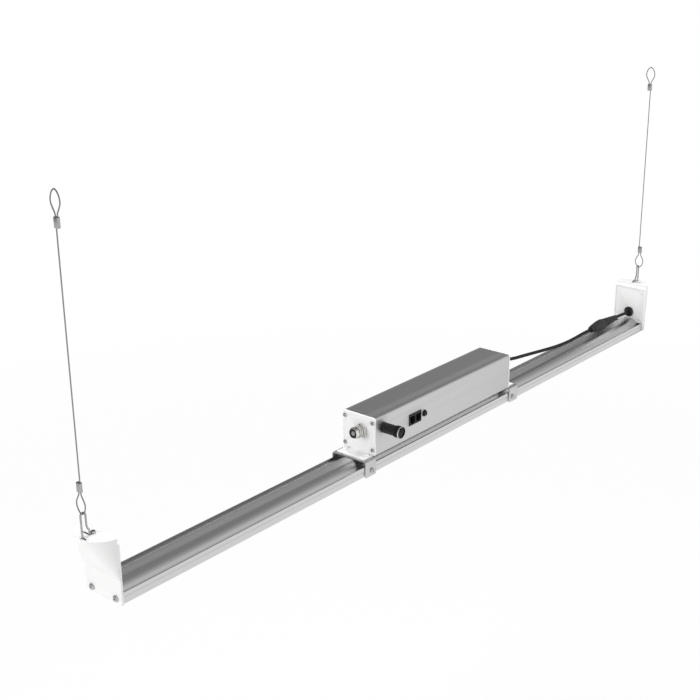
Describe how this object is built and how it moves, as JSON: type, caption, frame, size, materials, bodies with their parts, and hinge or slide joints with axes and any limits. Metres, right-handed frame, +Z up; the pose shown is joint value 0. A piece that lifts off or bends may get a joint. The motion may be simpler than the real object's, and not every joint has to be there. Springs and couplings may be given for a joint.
{
  "type": "led grow light bar",
  "caption": "Hanging LED grow light bar: an aluminium profile with moulded end caps, a driver box with dimmer and sockets on straps, an output lead, and wire ropes with eyes.",
  "frame": {"origin": "midway between the bearing points of the two upper rope eyes, where the light hangs", "axes": "+X along the bar towards the output lead's connector, -Y the side with the controls, +Z up"},
  "size_m": [1.2128, 0.0877, 0.4461],
  "materials": {
    "profile_aluminium": "satin",
    "housing_aluminium": "satin",
    "white_plastic": "semi-gloss",
    "white_paint": "powder coat",
    "screw_steel": "plated",
    "hook_steel": "drawn wire",
    "rope_steel": "stranded",
    "ferrule_metal": "crimped",
    "gland_nickel": "nickel plated",
    "trim_chrome": "bright",
    "black_plastic": "satin",
    "black_rubber": "matt",
    "lens_plastic": "frosted clear",
    "board_white": "solder mask",
    "chip_phosphor": "phosphor",
    "board_green": "solder mask",
    "module_resin": "potted",
    "contact_gold": "plated"
  },
  "bodies": {
    "root": {"bar_extrusion": "profile_aluminium", "driver_housing": "housing_aluminium", "left_end_cap": "white_plastic", "right_end_cap": "white_plastic", "left_cap_cover": "white_plastic", "right_cap_cover": "white_plastic", "left_end_plate": "white_paint", "right_end_plate": "white_paint", "left_saddle": "housing_aluminium", "right_saddle": "housing_aluminium", "cap_cover_screws": "white_paint", "end_cap_screws": "screw_steel", "saddle_screws": "screw_steel", "end_plate_screws": "screw_steel", "foot_screws": "screw_steel", "foot_nuts": "screw_steel", "hook_screws": "screw_steel", "dimmer_bush_nut": "screw_steel", "dimmer_pot": "screw_steel", "left_hook": "hook_steel", "right_hook": "hook_steel", "left_rope": "rope_steel", "right_rope": "rope_steel", "left_ferrules": "ferrule_metal", "right_ferrules": "ferrule_metal", "mains_gland_body": "gland_nickel", "mains_gland_nut": "gland_nickel", "mains_gland_locknut": "gland_nickel", "control_sockets": "black_plastic", "button_collar": "black_plastic", "mode_switch": "black_plastic", "connector_plug": "black_plastic", "connector_nut": "black_plastic", "connector_socket": "black_plastic", "output_lead": "black_rubber", "bar_lead": "black_rubber", "lead_strain_relief": "black_rubber", "cap_grommet": "black_rubber", "mains_gland_seal": "black_rubber", "end_cap_gaskets": "black_rubber", "lens_cover": "lens_plastic", "led_board": "board_white", "led_chips": "chip_phosphor", "driver_board": "board_green", "driver_module": "module_resin", "socket_contacts": "contact_gold"},
    "dimmer": {"dimmer_shaft": "screw_steel", "dimmer_knob": "black_plastic", "knob_trim_ring": "trim_chrome"},
    "button": {"mode_button": "black_plastic"}
  },
  "joints": [
    {"name": "dimmer_turn", "type": "hinge", "parent": "root", "child": "dimmer", "pos_m": [-0.14, -0.027, -0.3859], "axis": [0, -1, 0], "range_deg": [-150, 150]},
    {"name": "button_press", "type": "slide", "parent": "root", "child": "button", "axis": [0, 1, 0], "range_m": [0, 0.0012], "stiffness_N_per_m": 1200, "springref_m": -0.0005}
  ]
}
